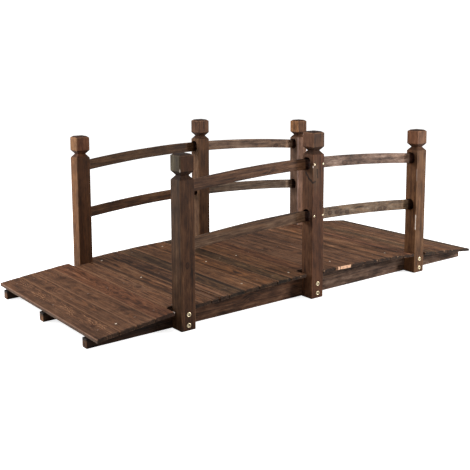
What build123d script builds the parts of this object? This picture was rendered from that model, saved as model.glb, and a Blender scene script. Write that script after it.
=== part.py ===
from build123d import *
import math
import os

os.makedirs("parts", exist_ok=True)

# ---------------------------------------------------------------- dimensions
# All in millimetres. +X runs along the bridge from its left end to its right
# end, +Y from the front railing to the rear railing, +Z up. The origin is on
# the level plane that the stringers and posts stand on, at the middle.

deck_left, deck_right = -750.0, 757.0       # ends of the boarded deck
beam_end = 757.0            # both ends of the stringers, from x = 0
deck_width = 640.0          # length of one deck board
deck_crest = 82.5           # top of the deck at mid-span
deck_end = {"left": 36.0, "right": 39.5}    # top of the deck at its ends
board_thick = 10.0

# Seams between neighbouring deck boards, left to right (25 boards).
seams = [-750, -686, -639, -580, -516, -463, -398, -336, -280, -226, -159,
         -106, -43, 14, 79, 149, 210, 274, 333, 395, 457, 507, 563, 635,
         699, 757]
# Gap between each pair of neighbours, at the underside.
gaps = [1.6, 1.2, 1.8, 1.5, 2.6, 2.2, 2.0, 1.4, 2.0, 2.6, 3.0, 2.4,
        2.0, 1.8, 2.2, 1.6, 2.4, 2.0, 2.2, 1.8, 2.4, 1.6, 2.0, 1.8]

stringer_thick = 24.0
stringer_outer = 274.0      # outer face of the two outer stringers, from y = 0

post_side = 46.0            # square section
post_outer = deck_width / 2     # outer face of the posts, from y = 0
post_x = {"left": -475.0, "middle": 0.0, "right": 475.0}
post_height = {
    ("front", "left"): 481.0, ("front", "middle"): 511.5, ("front", "right"): 488.0,
    ("rear", "left"): 481.0, ("rear", "middle"): 510.0, ("rear", "right"): 484.0,
}
knob_drop = 46.0            # from the top down to the lower edge of the knob
neck_drop = 58.0            # from the top down to the bottom of the V groove
shoulder_drop = 70.0        # from the top down to the shoulder
neck_depth = 10.0           # depth of the V groove
knob_chamfer_in = 7.0
knob_chamfer_down = 5.0
post_edge = 1.2             # eased long edges

rail_high = 33.5            # depth of a rail board
rail_thick = 9.0
rail_shift = 16.0           # centre of the rail behind the centre of the post
# Height of a rail's centre line over the left, middle and right posts.
rail_line = {
    ("front", "upper"): (383.5, 411.5, 389.0),
    ("front", "lower"): (222.5, 251.0, 230.5),
    ("rear", "upper"): (377.0, 411.0, 386.5),
    ("rear", "lower"): (219.0, 249.5, 226.5),
}
slot_wide = 32.0            # mortise across the post
slot_shift = 4.5            # centre of the mortise behind the centre of the post
slot_high = 38.0
slot_lift = {               # centre of the mortise above the rail's centre
    ("left", "upper"): 1.5, ("middle", "upper"): 3.0, ("right", "upper"): 1.5,
    ("left", "lower"): 1.5, ("middle", "lower"): 5.0, ("right", "lower"): 1.5,
}
slot_corner = 13.0
slot_deep = 30.0            # blind mortises of the end posts
rail_tenon = 26.0           # how far a rail goes into an end post


def deck_top(x):
    """Height of the deck's upper face: an arc each way from the crest."""
    reach = deck_left if x < 0 else deck_right
    rise = deck_crest - deck_end["left" if x < 0 else "right"]
    radius = (reach ** 2 + rise ** 2) / (2 * rise)
    return deck_crest - radius + math.sqrt(radius ** 2 - x ** 2)


def prism(points, y0, y1):
    """Closed polygon of (x, z) points, extruded from y0 to y1."""
    face = make_face(Polyline([(x, y0, z) for x, z in points], close=True))
    return extrude(face, amount=y1 - y0, dir=(0, 1, 0))


def block(x0, x1, y0, y1, z0, z1):
    return Pos((x0 + x1) / 2, (y0 + y1) / 2, (z0 + z1) / 2) * Box(
        x1 - x0, y1 - y0, z1 - z0)


def save(name, solid):
    if isinstance(solid, (list, ShapeList)):
        solid = Compound(children=list(solid))
    export_step(solid, f"parts/{name}.step")


# ---------------------------------------------------------------- underside
# The boards lie flat on the stringers, which are cut to the same facets.
under = [(x, deck_top(x) - board_thick) for x in seams]

# ---------------------------------------------------------------- stringers
(xa, za), (xb, zb) = under[0], under[1]
left_top = za - (zb - za) / (xb - xa) * (xa + beam_end)
outline = ([(-beam_end, 0.0), (-beam_end, left_top)] + under
           + [(beam_end, 0.0)])
stringer_y = {
    "front_stringer": (-stringer_outer, -stringer_outer + stringer_thick),
    "middle_stringer": (-stringer_thick / 2, stringer_thick / 2),
    "rear_stringer": (stringer_outer - stringer_thick, stringer_outer),
}
for name, (y0, y1) in stringer_y.items():
    save(name, prism(outline, y0, y1))

# ---------------------------------------------------------------- deck boards
post_inner = post_outer - post_side
notch_clear = 1.0           # between a post and the board ends beside it

# Boards that carry no end beside a post stop at the posts' inner face, and a
# neighbour that would still meet a post has its corner cut away.
short_boards = {4, 12, 20}
corner_cuts = {5: (-470.0, -451.0), 13: (5.0, 26.5), 19: (451.0, 462.0)}

for i in range(len(seams) - 1):
    (xa, za), (xb, zb) = under[i], under[i + 1]
    run = math.hypot(xb - xa, zb - za)
    ux, uz = (xb - xa) / run, (zb - za) / run          # along the facet
    ga = gaps[i - 1] / 2 if i > 0 else 0.0
    gb = gaps[i] / 2 if i < len(seams) - 2 else 0.0
    p0 = (xa + ux * ga, za + uz * ga)
    p1 = (xb - ux * gb, zb - uz * gb)
    nx, nz = -uz, ux                                   # square to the facet
    p2 = (p1[0] + nx * board_thick, p1[1] + nz * board_thick)
    p3 = (p0[0] + nx * board_thick, p0[1] + nz * board_thick)
    # The two end boards are cut plumb.
    if i == 0:
        p3 = (p0[0], p0[1] + board_thick / ux)
    if i == len(seams) - 2:
        p2 = (p1[0], p1[1] + board_thick / ux)
    reach = deck_width / 2
    if i in short_boards:
        reach = post_inner - notch_clear
    board = prism([p0, p1, p2, p3], -reach, reach)
    if i in corner_cuts:
        cx0, cx1 = corner_cuts[i]
        inner = post_inner - notch_clear
        board -= block(cx0, cx1, -reach - 5, -inner, 0, 200)
        board -= block(cx0, cx1, inner, reach + 5, 0, 200)
    if i == 6:
        # This board has split from its front end along the grain.
        board -= extrude(
            make_face(Polyline([(-371.5, -330.0, 0), (-364.5, -330.0, 0),
                                (-374.6, -70.0, 0), (-375.4, -70.0, 0)],
                               close=True)), amount=200)
    save(f"deck_board_{i + 1:02d}", board)


# ---------------------------------------------------------------- rails
def rail_centre(side, level, x):
    """Centre line of a rail: one long bow over both bays."""
    left, crest, right = rail_line[side, level]
    end, xe = (left, post_x["left"]) if x < 0 else (right, post_x["right"])
    return crest - (crest - end) * (x / xe) ** 2


def rail(side, level, x0, x1, y):
    xm_ = (x0 + x1) / 2
    up = []
    for dz in (rail_high / 2, -rail_high / 2):
        up.append([(x, y, rail_centre(side, level, x) + dz)
                   for x in (x0, xm_, x1)])
    top = ThreePointArc(*up[0])
    low = ThreePointArc(*up[1])
    left = Line(up[0][0], up[1][0])
    right = Line(up[0][2], up[1][2])
    face = make_face([top, right, low, left])
    return extrude(face, amount=rail_thick, dir=(0, 1, 0))


def slot(x0, x1, yc, zc):
    """Rounded mortise through the length x0..x1."""
    body = Pos((x0 + x1) / 2, yc, zc) * Box(x1 - x0, slot_wide, slot_high)
    return fillet(body.edges().filter_by(Axis.X), slot_corner)


side_y = {"front": -(post_outer - post_side / 2), "rear": post_outer - post_side / 2}
bays = {
    "left": (post_x["left"] + post_side / 2 - rail_tenon, post_x["middle"]),
    "right": (post_x["middle"], post_x["right"] - post_side / 2 + rail_tenon),
}
rails = {}
for side, yc in side_y.items():
    for bay, (x0, x1) in bays.items():
        for level in ("upper", "lower"):
            y = yc + rail_shift - rail_thick / 2
            rails[side, bay, level] = rail(side, level, x0, x1, y)
            save(f"{side}_{bay}_{level}_rail", rails[side, bay, level])


# ---------------------------------------------------------------- posts
def post(x, yc, height):
    s = post_side / 2
    shaft_top = height - shoulder_drop
    shaft = Pos(x, yc, shaft_top / 2) * Box(post_side, post_side, shaft_top)
    shaft = fillet(shaft.edges().filter_by(Axis.Z), post_edge)
    n = neck_depth

    def square(z, inset):
        side = post_side - 2 * inset
        return Pos(x, yc, z) * Rectangle(side, side)

    cone = loft([square(shaft_top, 0), square(height - neck_drop, n)], ruled=True)
    bell = loft([square(height - neck_drop, n), square(height - knob_drop, 0)],
                ruled=True)
    z0, z1 = height - knob_drop, height - knob_chamfer_down
    knob = Pos(x, yc, (z0 + z1) / 2) * Box(post_side, post_side, z1 - z0)
    cap = loft([square(z1, 0), square(height, knob_chamfer_in)], ruled=True)
    return shaft + cone + bell + knob + cap


for side, yc in side_y.items():
    for place, x in post_x.items():
        body = post(x, yc, post_height[side, place])
        s = post_side / 2
        for level in ("upper", "lower"):
            lift = slot_lift[place, level]
            if place == "middle":
                zc = rail_centre(side, level, x) + lift
                body -= slot(x - s - 5, x + s + 5, yc + slot_shift, zc)
            elif place == "left":
                zc = rail_centre(side, level, x + s) + lift
                body -= slot(x + s - slot_deep, x + s + 10, yc + slot_shift, zc)
            else:
                zc = rail_centre(side, level, x - s) + lift
                body -= slot(x - s - 10, x - s + slot_deep, yc + slot_shift, zc)
            # Where a rail bears on its mortise, the post is cut to fit it.
            for bay in bays:
                if place in (bay, "middle"):
                    body -= rails[side, bay, level]
        save(f"{side}_{place}_post", body)
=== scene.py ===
import math

import bmesh
import bpy
from mathutils import Matrix, Vector, noise


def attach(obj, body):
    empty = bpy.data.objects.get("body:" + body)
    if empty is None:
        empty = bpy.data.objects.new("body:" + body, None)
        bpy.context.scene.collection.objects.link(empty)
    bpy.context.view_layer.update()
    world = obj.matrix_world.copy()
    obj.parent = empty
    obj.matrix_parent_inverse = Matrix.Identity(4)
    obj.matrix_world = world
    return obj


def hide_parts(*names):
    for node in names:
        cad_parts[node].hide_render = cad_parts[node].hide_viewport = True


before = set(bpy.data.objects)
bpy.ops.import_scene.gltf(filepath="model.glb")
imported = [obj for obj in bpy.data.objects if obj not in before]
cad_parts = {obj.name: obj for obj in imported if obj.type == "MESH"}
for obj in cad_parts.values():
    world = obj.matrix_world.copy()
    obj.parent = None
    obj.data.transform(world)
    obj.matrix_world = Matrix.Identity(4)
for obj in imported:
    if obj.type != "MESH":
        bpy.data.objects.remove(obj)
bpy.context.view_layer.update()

MM = 0.001

# ---------------------------------------------------------------- camera
# From a fit of the bridge's edges in the photograph (470 x 470).
RIGHT = Vector((0.7928725, -0.6093795, -0.0031352))
DOWN = Vector((-0.0856250, -0.1063111, -0.9906393))
AHEAD = Vector((0.6033420, 0.7857192, -0.1364693))
cam_data = bpy.data.cameras.new("camera")
cam = bpy.data.objects.new("camera", cam_data)
bpy.context.scene.collection.objects.link(cam)
cam.matrix_world = Matrix((
    (RIGHT.x, -DOWN.x, -AHEAD.x, -1.6324519),
    (RIGHT.y, -DOWN.y, -AHEAD.y, -2.0345564),
    (RIGHT.z, -DOWN.z, -AHEAD.z, 0.7376616),
    (0, 0, 0, 1)))
cam_data.sensor_width = 36.0
cam_data.lens = 793.743 / 470 * 36
cam_data.shift_y = (164.455 - 235) / 470
cam_data.clip_start, cam_data.clip_end = 0.05, 100
bpy.context.scene.camera = cam

# ---------------------------------------------------------------- dimensions
# The same driving sizes as the CAD model, in millimetres.
LEFT, RIGHT_END, BEAM_END = -750.0, 757.0, 757.0
CREST, END, THICK = 82.5, {"left": 36.0, "right": 39.5}, 10.0
SEAMS = [-750, -686, -639, -580, -516, -463, -398, -336, -280, -226, -159,
         -106, -43, 14, 79, 149, 210, 274, 333, 395, 457, 507, 563, 635,
         699, 757]
GAPS = [1.6, 1.2, 1.8, 1.5, 2.6, 2.2, 2.0, 1.4, 2.0, 2.6, 3.0, 2.4,
        2.0, 1.8, 2.2, 1.6, 2.4, 2.0, 2.2, 1.8, 2.4, 1.6, 2.0, 1.8]
POST, OUTER = 46.0, 320.0
POST_X = {"left": -475.0, "middle": 0.0, "right": 475.0}
HEIGHT = {("front", "left"): 481.0, ("front", "middle"): 511.5, ("front", "right"): 488.0,
          ("rear", "left"): 481.0, ("rear", "middle"): 510.0, ("rear", "right"): 484.0}
SIDE_Y = {"front": -297.0, "rear": 297.0}
RAIL_HIGH, RAIL_THICK, RAIL_SHIFT = 33.5, 9.0, 16.0
LEVELS = {("front", "upper"): (383.5, 411.5, 389.0), ("front", "lower"): (222.5, 251.0, 230.5),
          ("rear", "upper"): (377.0, 411.0, 386.5), ("rear", "lower"): (219.0, 249.5, 226.5)}
SLOT_LIFT = {("left", "upper"): 1.5, ("middle", "upper"): 3.0, ("right", "upper"): 1.5,
             ("left", "lower"): 1.5, ("middle", "lower"): 5.0, ("right", "lower"): 1.5}


def deck_top(x):
    reach = LEFT if x < 0 else RIGHT_END
    rise = CREST - END["left" if x < 0 else "right"]
    radius = (reach ** 2 + rise ** 2) / (2 * rise)
    return CREST - radius + math.sqrt(radius ** 2 - x ** 2)


def rail_line(side, level, x):
    left, crest, right = LEVELS[side, level]
    end = left if x < 0 else right
    return crest - (crest - end) * (x / 475.0) ** 2


UNDER = [(x, deck_top(x) - THICK) for x in SEAMS]


def wave(a, b=0.0, c=0.0):
    """Smooth noise, -1 to 1, the same on every run."""
    return noise.noise(Vector((a + 0.37, b + 0.71, c + 0.13)))


def steps(lo, hi, pitch):
    n = max(1, round((hi - lo) / pitch))
    return [lo + (hi - lo) * i / n for i in range(n + 1)]


def merged(*lists):
    out = []
    for v in sorted(x for one in lists for x in one):
        if not out or v - out[-1] > 0.8:
            out.append(v)
    return out


# ---------------------------------------------------------------- meshes
def new_object(name, bm):
    bmesh.ops.recalc_face_normals(bm, faces=bm.faces[:])
    me = bpy.data.meshes.new(name)
    bm.to_mesh(me)
    bm.free()
    o = bpy.data.objects.new(name, me)
    bpy.context.scene.collection.objects.link(o)
    return o


def lattice(bm, nu, nv, place, present=None):
    """A solid sheet of cells; place(i, j, k) gives its low (k 0) and high (k 1) corners in mm."""
    verts = {}

    def vert(i, j, k):
        if (i, j, k) not in verts:
            verts[i, j, k] = bm.verts.new(Vector(place(i, j, k)) * MM)
        return verts[i, j, k]

    def cell(i, j):
        return (0 <= i < nu - 1 and 0 <= j < nv - 1
                and (present is None or present(i, j)))

    for i in range(nu - 1):
        for j in range(nv - 1):
            if not cell(i, j):
                continue
            q = [(i, j), (i + 1, j), (i + 1, j + 1), (i, j + 1)]
            bm.faces.new([vert(*p, 1) for p in q])
            bm.faces.new([vert(*p, 0) for p in reversed(q)])
            for n, (di, dj) in enumerate(((0, -1), (1, 0), (0, 1), (-1, 0))):
                a, b = q[n], q[(n + 1) % 4]
                if not cell(i + di, j + dj):
                    bm.faces.new([vert(*a, 0), vert(*b, 0), vert(*b, 1), vert(*a, 1)])


def finish_mesh(o, bevel=0.0, segments=2, sharp=38.0, limit=50.0):
    """Bevels and shades the piece, and keeps the result as its mesh."""
    me = o.data
    me.polygons.foreach_set("use_smooth", [True] * len(me.polygons))
    if bevel:
        m = o.modifiers.new("edge", "BEVEL")
        m.width, m.segments, m.limit_method = bevel * MM, segments, "ANGLE"
        m.angle_limit = math.radians(limit)
        m.use_clamp_overlap = True
    me.set_sharp_from_angle(angle=math.radians(sharp))
    w = o.modifiers.new("normals", "WEIGHTED_NORMAL")
    w.keep_sharp, w.weight = True, 50
    dg = bpy.context.evaluated_depsgraph_get()
    done = bpy.data.meshes.new_from_object(o.evaluated_get(dg))
    o.modifiers.clear()
    o.data = done
    done.name = o.name
    bpy.data.meshes.remove(me)


def set_grain(o, origin, u, v, w):
    """Stores each point's place in the piece's own timber, in mm: u across, v along the grain, w through."""
    me = o.data
    u, v, w, at = Vector(u), Vector(v), Vector(w), Vector(origin)
    a = me.attributes.new("grain", "FLOAT_VECTOR", "POINT")
    flat = []
    for p in me.vertices:
        d = p.co / MM - at
        flat += [d.dot(u), d.dot(v), d.dot(w)]
    a.data.foreach_set("vector", flat)


# ---------------------------------------------------------------- shader kit
class Graph:
    def __init__(self, name):
        self.mat = bpy.data.materials.new(name)
        self.mat.use_nodes = True
        self.t = self.mat.node_tree
        self.t.nodes.clear()
        self.out = self.t.nodes.new("ShaderNodeOutputMaterial")
        self.bsdf = self.t.nodes.new("ShaderNodeBsdfPrincipled")
        self.t.links.new(self.bsdf.outputs[0], self.out.inputs[0])

    def put(self, socket, value):
        if isinstance(value, bpy.types.NodeSocket):
            self.t.links.new(value, socket)
        elif value is not None:
            socket.default_value = value

    def m(self, op, a, b=None, c=None):
        n = self.t.nodes.new("ShaderNodeMath")
        n.operation = op
        self.put(n.inputs[0], a)
        self.put(n.inputs[1], b)
        if c is not None:
            self.put(n.inputs[2], c)
        return n.outputs[0]

    def v(self, op, a, b=None):
        n = self.t.nodes.new("ShaderNodeVectorMath")
        n.operation = op
        self.put(n.inputs[0], a)
        self.put(n.inputs[1], b)
        return n.outputs["Value" if op == "LENGTH" else "Vector"]

    def split(self, a):
        n = self.t.nodes.new("ShaderNodeSeparateXYZ")
        self.put(n.inputs[0], a)
        return n.outputs

    def noise(self, vec, size, detail=2.0, rough=0.5, colour=False):
        """Noise whose features are about size mm, given as one number or (u, v, w)."""
        if not isinstance(size, (tuple, list)):
            size = (size, size, size)
        scaled = self.v("MULTIPLY", vec, tuple(1.0 / s for s in size))
        n = self.t.nodes.new("ShaderNodeTexNoise")
        n.inputs["Scale"].default_value = 1.0
        n.inputs["Detail"].default_value = detail
        n.inputs["Roughness"].default_value = rough
        self.put(n.inputs["Vector"], scaled)
        return n.outputs["Color" if colour else "Fac"]

    def step(self, x, lo, hi, a=0.0, b=1.0):
        n = self.t.nodes.new("ShaderNodeMapRange")
        n.interpolation_type = "SMOOTHSTEP"
        self.put(n.inputs["Value"], x)
        for key, val in (("From Min", lo), ("From Max", hi), ("To Min", a), ("To Max", b)):
            n.inputs[key].default_value = val
        return n.outputs[0]

    def mix(self, fac, a, b, blend="MIX"):
        n = self.t.nodes.new("ShaderNodeMix")
        n.data_type, n.blend_type = "RGBA", blend
        self.put(n.inputs["Factor"], fac)
        for s, val in ((n.inputs[6], a), (n.inputs[7], b)):
            if isinstance(val, (tuple, list)):
                val = (*val[:3], 1.0)
            self.put(s, val)
        return n.outputs[2]

    def ramp(self, x, stops):
        n = self.t.nodes.new("ShaderNodeValToRGB")
        el = n.color_ramp.elements
        while len(el) > 1:
            el.remove(el[0])
        el[0].position, el[0].color = stops[0][0], (*stops[0][1], 1)
        for pos, col in stops[1:]:
            e = el.new(pos)
            e.color = (*col, 1)
        self.put(n.inputs[0], x)
        return n.outputs[0]


def times(c, k):
    return tuple(max(0.0, a * b) for a, b in zip(c, k if isinstance(k, (tuple, list)) else (k,) * 3))


TONES = {
    "mid": (1.0, 1.0, 1.0), "red": (1.04, 0.92, 0.88), "tan": (1.22, 1.20, 1.12),
    "dark": (0.72, 0.72, 0.74), "olive": (0.78, 0.88, 0.86), "grey": (0.98, 1.08, 1.18), "ash": (1.15, 1.42, 1.65),
    "light": (1.42, 1.40, 1.34), "orange": (1.45, 1.22, 1.0), "deep": (0.5, 0.5, 0.52),
}
STAIN = (0.0845, 0.0372, 0.0184)
PALE = (0.62, 0.52, 0.45)
RAW = (0.46, 0.27, 0.16)


def wood(name, seed, tone="mid", gain=1.0, tint=(1, 1, 1), ring=5.5, pith=(10.0, 34.0), tilt=(0.01, 0.05),
         line=0.45, streak=0.5, blotch=0.5, knots=(), half=(30.0, 320.0, 5.0), wear=0.5,
         bands=(), raw=(), patches=(), sides=(), cracks=(), arris=(),
         figure=None, painted_light_fill=(), hollow=None, overhang_shadow=None, wander=0, shade_gradient=None,
         rough=0.5, crack=0.7):
    """Stained softwood. raw: [(axis, at, reach)] unstained ends; patches: [(u, v, w, radius, tone, strength)] local tints."""
    g = Graph(name)
    base = times(times(times(STAIN, TONES[tone]), gain), tint)
    att = g.t.nodes.new("ShaderNodeAttribute")
    att.attribute_name = "grain"
    G = att.outputs["Vector"]
    P = g.v("ADD", G, (seed * 71.3 % 997, seed * 523.7 % 3989, seed * 37.9 % 499))
    gu, gv, gw = g.split(G)

    # Growth rings: distance to a pith line that lies below and askew to the board.
    low = g.noise(P, (30, 210, 30), 3, 0.55, colour=True)
    shift = g.v("MULTIPLY", g.v("SUBTRACT", low, (0.5, 0.5, 0.5)), (15, 0, 15))
    qu, qv, qw = g.split(g.v("ADD", G, shift))
    ax = g.m("ADD", g.m("MULTIPLY_ADD", qv, tilt[0], qu), -pith[0])
    bx = g.m("ADD", g.m("MULTIPLY_ADD", qv, tilt[1], qw), pith[1])
    r = g.m("SQRT", g.m("ADD", g.m("MULTIPLY", ax, ax), g.m("MULTIPLY", bx, bx)))
    spots = []
    for ku, kv, kr in knots:
        du = g.m("SUBTRACT", gu, ku)
        dv = g.m("MULTIPLY", g.m("SUBTRACT", gv, kv), 0.62)
        dd = g.m("ADD", g.m("MULTIPLY", du, du), g.m("MULTIPLY", dv, dv))
        bump = g.m("EXPONENT", g.m("MULTIPLY", dd, -1.0 / (kr * 2.6) ** 2))
        r = g.m("MULTIPLY_ADD", bump, kr * 1.9, r)
        spots.append((g.m("SQRT", dd), kr))
    phase = g.m("MULTIPLY_ADD", g.noise(P, (7, 60, 7), 2), 0.55, g.m("DIVIDE", r, ring))
    t = g.m("FRACT", phase)
    rise, fall = g.step(t, 0.42, 0.90), g.step(t, 0.92, 1.0, 1.0, 0.0)
    ringline = g.m("MULTIPLY", rise, fall)
    patchy = g.step(g.noise(P, (34, 210, 34), 2), 0.36, 0.66)
    lines = g.m("MULTIPLY", g.m("MULTIPLY", ringline, g.m("MULTIPLY_ADD", patchy, 0.8, 0.2)), line)

    # Streaks along the grain, stain blotches, and fine fibre.
    med = g.noise(P, (3.0, 70, 3.0), 4, 0.68)
    wide = g.noise(P, (9, 300, 9), 2, 0.6)
    blot = g.noise(P, (20, 46, 20), 4, 0.62)
    fine = g.noise(P, (1.3, 24, 1.3), 3, 0.65)
    tone_value = g.m("ADD", 0.5, g.m("MULTIPLY", g.m("SUBTRACT", med, 0.5), 3.0 * streak))
    tone_value = g.m("ADD", tone_value, g.m("MULTIPLY", g.m("SUBTRACT", wide, 0.5), 2.3 * streak))
    tone_value = g.m("ADD", tone_value, g.m("MULTIPLY", g.m("SUBTRACT", blot, 0.5), 2.1 * blotch))
    tone_value = g.m("ADD", tone_value, g.m("MULTIPLY", g.m("SUBTRACT", fine, 0.5), 0.8))
    col = g.ramp(tone_value, [
        (0.0, times(base, (0.20, 0.19, 0.19))), (0.30, times(base, (0.55, 0.54, 0.55))),
        (0.50, base), (0.72, times(base, (1.44, 1.55, 1.62))),
        (1.0, times(base, (2.4, 2.8, 3.1)))])
    col = g.mix(lines, col, times(base, (2.35, 2.15, 1.75)))

    # Fine wavy latewood lines on a flat-sawn face.
    if figure:
        pitch, lo, hi, strong = figure
        bend = g.m("MULTIPLY", g.noise(P, (34, 62, 34), 2), 30.0)
        bend = g.m("MULTIPLY_ADD", g.noise(P, (7, 11, 7), 3, 0.6), 11.0, bend)
        band = g.m("FRACT", g.m("DIVIDE", g.m("ADD", gu, bend), pitch))
        peak = g.m("MULTIPLY", g.step(band, 0.30, 0.5), g.step(band, 0.55, 0.75, 1.0, 0.0))
        here = g.m("MULTIPLY", g.step(gu, lo - 6, lo + 6), g.step(gu, hi - 6, hi + 6, 1.0, 0.0))
        here = g.m("MULTIPLY", here, g.step(g.noise(P, (20, 60, 20), 3, 0.6), 0.47, 0.56))
        col = g.mix(g.m("MULTIPLY", g.m("MULTIPLY", peak, here), strong), col, times(base, (3.9, 4.2, 4.2)))
        dips = g.m("MULTIPLY", g.step(band, 0.78, 0.88), g.step(band, 0.92, 1.0, 1.0, 0.0))
        col = g.mix(g.m("MULTIPLY", g.m("MULTIPLY", dips, here), strong * 0.6), col, times(base, 0.4))

    # Fine dark checks along the grain.
    check_n = g.noise(P, (1.5, 95, 1.5), 1, 0.4)
    checks = g.m("MULTIPLY", g.step(check_n, 0.63, 0.72), g.step(g.noise(P, (60, 260, 60), 1), 0.45, 0.6))
    col = g.mix(g.m("MULTIPLY", checks, crack), col, times(base, 0.22))

    # Knots: a dark core in a darker rim.
    knot_h = None
    for dist, kr in spots:
        soft = g.m("MULTIPLY_ADD", g.noise(P, 2.6, 2), kr * 0.5, g.m("ADD", dist, -kr * 0.25))
        core = g.step(soft, kr * 0.62, kr * 1.02, 1.0, 0.0)
        rim = g.m("MULTIPLY", g.step(soft, kr * 0.5, kr * 0.8), g.step(soft, kr * 0.85, kr * 1.25, 1.0, 0.0))
        halo = g.step(soft, kr * 0.9, kr * 2.6, 1.0, 0.0)
        col = g.mix(g.m("MULTIPLY", halo, 0.30), col, times(base, (0.62, 0.55, 0.5)))
        col = g.mix(g.m("MULTIPLY", core, 0.72), col, times(base, (0.55, 0.42, 0.36)))
        col = g.mix(g.m("MULTIPLY", rim, 0.65), col, times(base, 0.2))
        knot_h = core if knot_h is None else g.m("MAXIMUM", knot_h, core)

    # Bands and faces made darker or lighter: grain bands, stain, seam dirt and end grain, and painted light and shade
    # where the callers give it (post faces lit or shaded by side, the post neck grooves, the rail ends in the
    # mortises): (axis, at, reach, colour, lowest v, highest v).
    for axis, at, reach, factor, lo, hi in sides:
        c = {"u": gu, "v": gv, "w": gw}[axis]
        near, far = reach if isinstance(reach, tuple) else (reach * 0.5, reach)
        if wander and axis == "u":
            c = g.m("MULTIPLY_ADD", g.m("SUBTRACT", g.noise(P, (11, 90, 11), 3, 0.6), 0.5), wander, c)
        mask = g.step(g.m("ABSOLUTE", g.m("SUBTRACT", c, at)), near, far, 1.0, 0.0)
        if lo is not None:
            soft_v = g.m("MULTIPLY_ADD", g.m("SUBTRACT", med, 0.5), 10.0, gv)
            mask = g.m("MULTIPLY", mask, g.step(soft_v, lo - 1.5, lo + 1.5))
            mask = g.m("MULTIPLY", mask, g.step(soft_v, hi - 1.5, hi + 1.5, 1.0, 0.0))
        col = g.mix(mask, col, factor, "MULTIPLY")

    # Single checks: a dark line from one point of the timber to another.
    for (au, av, aw), (bu, bv, bw), width in cracks:
        ab = Vector((bu - au, bv - av, bw - aw))
        rel = g.v("SUBTRACT", g.v("ADD", G, g.v("MULTIPLY", g.v("SUBTRACT", g.noise(P, 9, 2, 0.5, colour=True), (0.5, 0.5, 0.5)), (4, 4, 4))), (au, av, aw))
        dot = g.t.nodes.new("ShaderNodeVectorMath")
        dot.operation = "DOT_PRODUCT"
        g.put(dot.inputs[0], rel)
        g.put(dot.inputs[1], tuple(ab / ab.length_squared))
        along = g.m("MINIMUM", g.m("MAXIMUM", dot.outputs["Value"], 0.0), 1.0)
        foot = g.t.nodes.new("ShaderNodeVectorMath")
        foot.operation = "SCALE"
        g.put(foot.inputs[0], tuple(ab))
        g.put(foot.inputs["Scale"], along)
        far = g.v("LENGTH", g.v("SUBTRACT", rel, foot.outputs["Vector"]))
        col = g.mix(g.step(far, width * 0.4, width, 0.85, 0.0), col, times(base, 0.16))

    for pu, pv, pw, pr, ptone, strength in patches:
        near = g.v("SUBTRACT", G, (pu, pv, pw))
        near = g.v("MULTIPLY", near, (1.0, 0.34, 1.0))
        d = g.m("MULTIPLY_ADD", g.noise(P, (14, 60, 14), 2), pr * 0.9, g.v("LENGTH", near))
        mask = g.m("MULTIPLY", g.step(d, pr * 0.7, pr * 1.5, 1.0, 0.0), strength)
        if ptone in ("raw", "pale"):
            col = g.mix(mask, col, times(RAW, 0.8) if ptone == "raw" else PALE)
        else:
            col = g.mix(mask, col, times(TONES[ptone], 1.0), "MULTIPLY")

    # Stain rubbed off along the edges.
    du = g.m("SUBTRACT", half[0], g.m("ABSOLUTE", gu))
    dv = g.m("SUBTRACT", half[1], g.m("ABSOLUTE", gv))
    dw = g.m("SUBTRACT", half[2], g.m("ABSOLUTE", gw))
    small, big = g.m("MINIMUM", du, dw), g.m("MAXIMUM", du, dw)
    edge = g.m("MAXIMUM", small, g.m("MINIMUM", big, dv))
    for at in bands:
        edge = g.m("MINIMUM", edge, g.m("ABSOLUTE", g.m("SUBTRACT", gv, at)))
    rub_n = g.noise(P, (4, 30, 4), 3, 0.6)
    rub_w = g.step(g.noise(P, (40, 90, 40), 2), 0.35, 0.68)
    rub = g.m("MULTIPLY_ADD", g.m("SUBTRACT", rub_n, 0.5), -5.0, edge)
    rub = g.m("MULTIPLY", g.step(rub, 0.0, 1.9, 1.0, 0.0), g.m("MULTIPLY_ADD", rub_w, 0.8, 0.2))
    rub = g.m("MULTIPLY", rub, wear)
    col = g.mix(rub, col, g.mix(0.55, RAW, times(base, 2.2)))

    # One arris given its own colour: rubbed edges, and on the first board's left end a painted highlight: (axis, at,
    # axis, at, reach, colour, strength, lowest v, highest v).
    for ax1, at1, ax2, at2, reach, tone_, strength, lo, hi in arris:
        da, db = ({"u": gu, "v": gv, "w": gw}[x] for x in (ax1, ax2))
        da, db = g.m("SUBTRACT", da, at1), g.m("SUBTRACT", db, at2)
        dd = g.m("SQRT", g.m("ADD", g.m("MULTIPLY", da, da), g.m("MULTIPLY", db, db)))
        dd = g.m("MULTIPLY_ADD", g.m("SUBTRACT", g.noise(P, (5, 14, 5), 2), 0.5), reach * 0.9, dd)
        mask = g.m("MULTIPLY", g.step(dd, reach * 0.6, reach, 1.0, 0.0), strength)
        mask = g.m("MULTIPLY", mask, g.step(gv, lo, lo + 5))
        mask = g.m("MULTIPLY", mask, g.step(gv, hi - 5, hi, 1.0, 0.0))
        col = g.mix(mask, col, tone_)

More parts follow.
